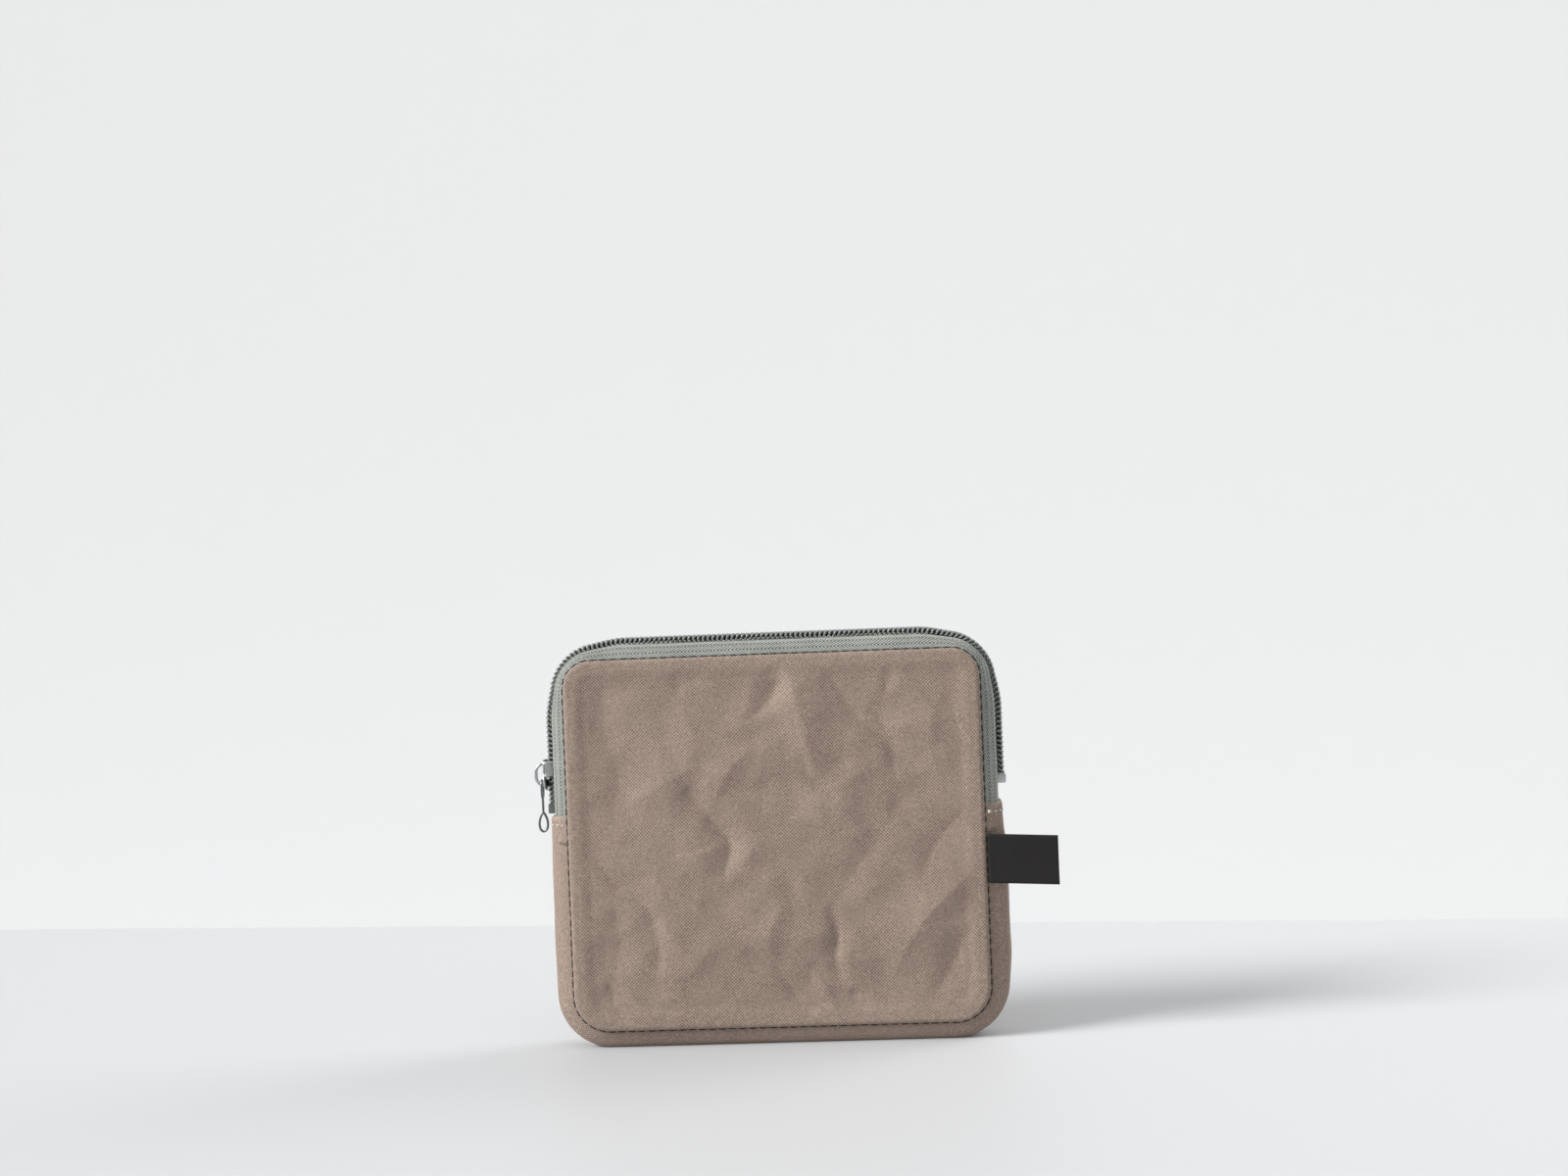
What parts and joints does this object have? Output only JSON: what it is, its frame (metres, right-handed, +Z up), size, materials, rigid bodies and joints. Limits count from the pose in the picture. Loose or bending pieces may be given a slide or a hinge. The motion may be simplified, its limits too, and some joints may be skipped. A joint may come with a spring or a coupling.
{
  "type": "zippered pouch",
  "caption": "Small upright fabric pouch with a bowed side strip, a coil zip over the top, a slider with a looped pull and a blank side label.",
  "frame": {"origin": "middle of the flat base that the pouch stands on, between the two panels", "axes": "+Z up, +X to the right as seen from the front, the front panel faces -Y"},
  "size_m": [0.1609, 0.02, 0.1264],
  "materials": {
    "canvas": "waxed cotton canvas, plain weave, creased, faint sheen",
    "zip_tape": "herringbone woven zip tape, matt",
    "zip_coil": "moulded nylon coil, semi-matt",
    "slider_metal": "satin nickel plate",
    "pull_metal": "gunmetal plate, satin",
    "label_ribbon": "woven ribbon, blank, matt",
    "binding": "cotton tape, matt",
    "seam_thread": "twisted polyester thread",
    "light_thread": "twisted cotton thread"
  },
  "bodies": {
    "root": {"front_panel_lower": "canvas", "back_panel_lower": "canvas", "gusset_strip": "canvas", "side_label": "label_ribbon", "front_tape_lower": "zip_tape", "back_tape_lower": "zip_tape", "front_coil_lower": "zip_coil", "back_coil_lower": "zip_coil", "front_top_stop": "pull_metal", "back_top_stop": "pull_metal", "bottom_stop": "slider_metal", "front_binding_lower": "binding", "back_binding_lower": "binding", "front_seam_thread_lower": "seam_thread", "back_seam_thread_lower": "seam_thread", "left_end_stitches": "light_thread", "right_end_stitches": "light_thread"},
    "front_mouth": {"front_panel_upper": "canvas", "front_tape_upper": "zip_tape", "front_coil_upper": "zip_coil", "front_binding_upper": "binding", "front_seam_thread_upper": "seam_thread"},
    "back_mouth": {"back_panel_upper": "canvas", "back_tape_upper": "zip_tape", "back_coil_upper": "zip_coil", "back_binding_upper": "binding", "back_seam_thread_upper": "seam_thread"},
    "slider": {"slider_body": "slider_metal", "slider_crown": "slider_metal"},
    "pull": {"pull_tab": "pull_metal"}
  },
  "joints": [
    {"name": "front_mouth_fold", "type": "hinge", "parent": "root", "child": "front_mouth", "pos_m": [0, -0.0095, 0.0994], "axis": [1, 0, 0], "range_deg": [0, 35]},
    {"name": "back_mouth_fold", "type": "hinge", "parent": "root", "child": "back_mouth", "pos_m": [0, 0.0095, 0.0994], "axis": [-1, 0, 0], "range_deg": [0, 35]},
    {"name": "slider_travel", "type": "slide", "parent": "root", "child": "slider", "axis": [0, 0, -1], "range_m": [-0.0092, 0.0038]},
    {"name": "pull_swing", "type": "hinge", "parent": "slider", "child": "pull", "pos_m": [-0.0729, 0, 0.08255], "axis": [0, 1, 0], "range_deg": [0, 130]}
  ]
}
